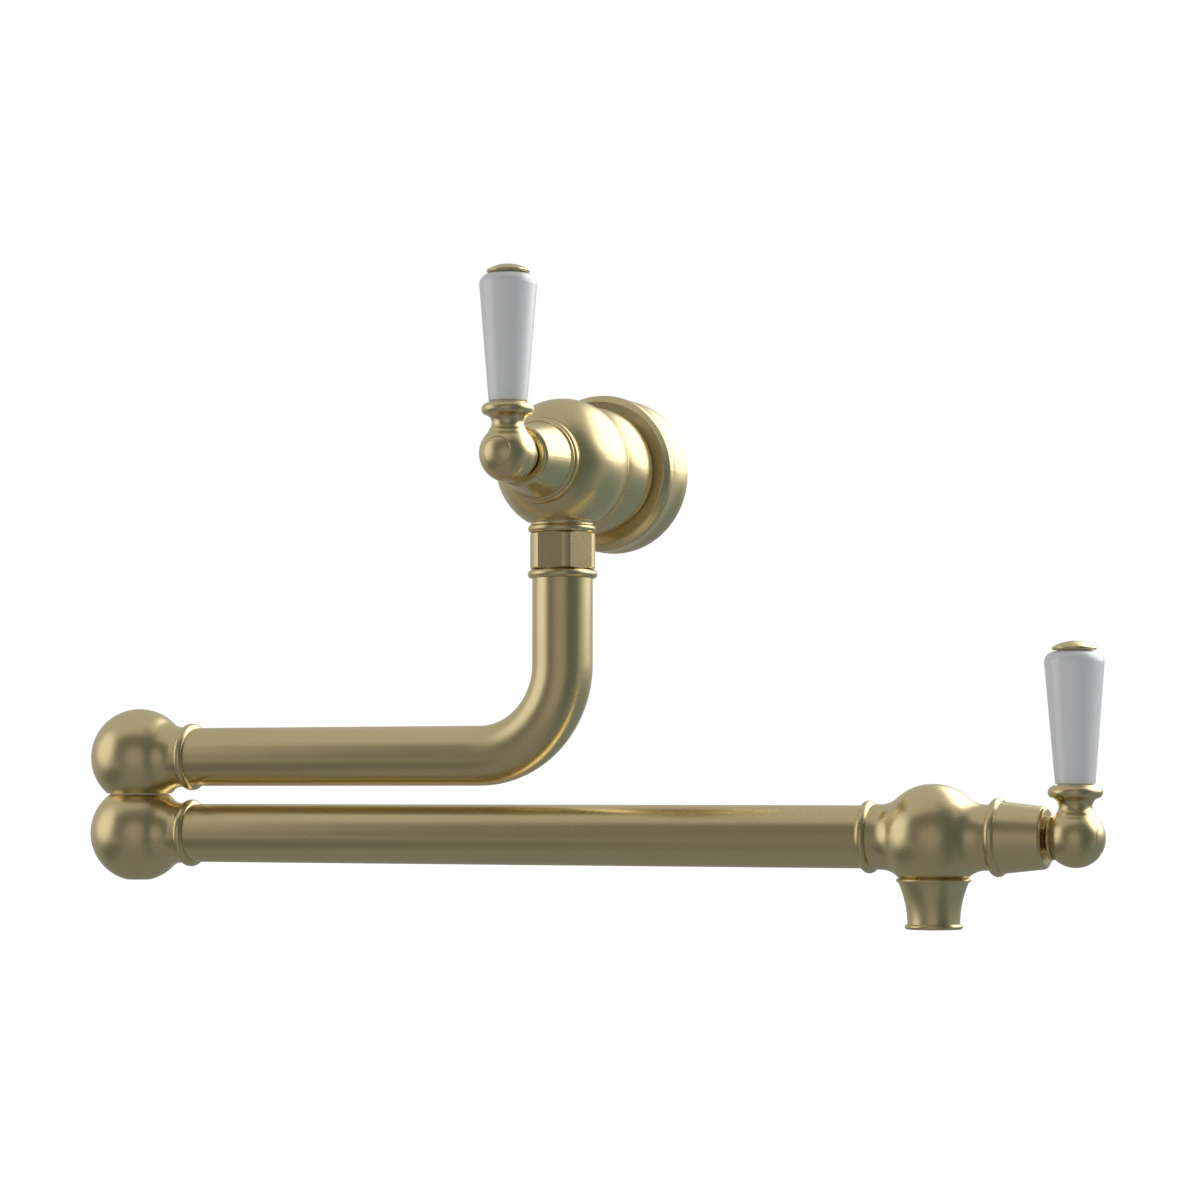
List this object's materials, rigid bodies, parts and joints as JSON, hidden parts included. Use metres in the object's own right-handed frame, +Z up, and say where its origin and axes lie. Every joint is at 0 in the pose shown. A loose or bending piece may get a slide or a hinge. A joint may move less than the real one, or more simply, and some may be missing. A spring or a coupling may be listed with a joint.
{
  "type": "wall mounted pot filler",
  "caption": "Wall mounted cold tap on a round flange with two folding hollow arms, a lever valve at the wall, a lever valve at the spout and a short flared nozzle.",
  "frame": {"origin": "centre of the flange's back face, on the wall", "axes": "+Z up; +Y into the wall, so the tap stands out towards -Y; +X to the right as a user sees it, with the arms folded along X"},
  "size_m": [0.4584, 0.1244, 0.2693],
  "materials": {
    "satin_brass": "satin brushed, lacquered",
    "raw_brass": "machined, unplated",
    "porcelain": "white glaze",
    "valve_ceramic": "ground flat",
    "rubber": "matt black nitrile",
    "white_plastic": "plain bearing plastic",
    "dark_plastic": "moulded",
    "steel": "stainless, plain"
  },
  "bodies": {
    "wall_valve": {"wall_flange": "satin_brass", "flange_gasket": "rubber", "wall_valve_body": "satin_brass", "outlet_adaptor": "satin_brass", "union_nut": "satin_brass", "union_thrust_washer": "white_plastic", "wall_bonnet": "satin_brass", "wall_cartridge_housing": "raw_brass", "wall_cartridge_oring": "rubber", "wall_seat_seal": "rubber", "wall_fixed_disc": "valve_ceramic"},
    "wall_lever": {"wall_moving_disc": "valve_ceramic", "wall_spindle": "raw_brass", "wall_spindle_oring": "rubber", "wall_lever_hub": "satin_brass", "wall_lever_screw": "steel", "wall_lever_button": "satin_brass", "wall_lever_neck": "satin_brass", "wall_lever_grip": "porcelain", "wall_lever_cap": "satin_brass", "wall_lever_stud": "steel", "wall_lever_washers": "white_plastic"},
    "upper_arm": {"swivel_tail": "satin_brass", "swivel_orings": "rubber", "upper_arm_tube": "satin_brass", "upper_knuckle": "satin_brass", "knuckle_stem": "raw_brass", "stem_orings": "rubber", "stem_retaining_ring": "steel", "stem_thrust_washer": "white_plastic"},
    "lower_arm": {"lower_knuckle": "satin_brass", "knuckle_washer": "white_plastic", "knuckle_plug": "satin_brass", "plug_oring": "rubber", "lower_arm_tube": "satin_brass", "spout_valve_body": "satin_brass", "nozzle": "satin_brass", "aerator_housing": "satin_brass", "aerator_washer": "rubber", "aerator_screen": "dark_plastic", "spout_bonnet": "satin_brass", "spout_cartridge_housing": "raw_brass", "spout_cartridge_oring": "rubber", "spout_seat_seal": "rubber", "spout_fixed_disc": "valve_ceramic"},
    "spout_lever": {"spout_moving_disc": "valve_ceramic", "spout_spindle": "raw_brass", "spout_spindle_oring": "rubber", "spout_lever_hub": "satin_brass", "spout_lever_screw": "steel", "spout_lever_button": "satin_brass", "spout_lever_neck": "satin_brass", "spout_lever_grip": "porcelain", "spout_lever_cap": "satin_brass", "spout_lever_stud": "steel", "spout_lever_washers": "white_plastic"}
  },
  "joints": [
    {"name": "wall_lever_turn", "type": "hinge", "parent": "wall_valve", "child": "wall_lever", "pos_m": [0, -0.1126, 0], "axis": [0, -1, 0], "range_deg": [0, 90]},
    {"name": "upper_arm_swing", "type": "hinge", "parent": "wall_valve", "child": "upper_arm", "pos_m": [0, -0.058, -0.0285], "axis": [0, 0, 1], "range_deg": [0, 180]},
    {"name": "lower_arm_swing", "type": "hinge", "parent": "upper_arm", "child": "lower_arm", "pos_m": [-0.205, -0.058, -0.1385], "axis": [0, 0, 1], "continuous": true},
    {"name": "spout_lever_turn", "type": "hinge", "parent": "lower_arm", "child": "spout_lever", "pos_m": [0.2203, -0.058, -0.1552], "axis": [1, 0, 0], "range_deg": [0, 90]}
  ]
}
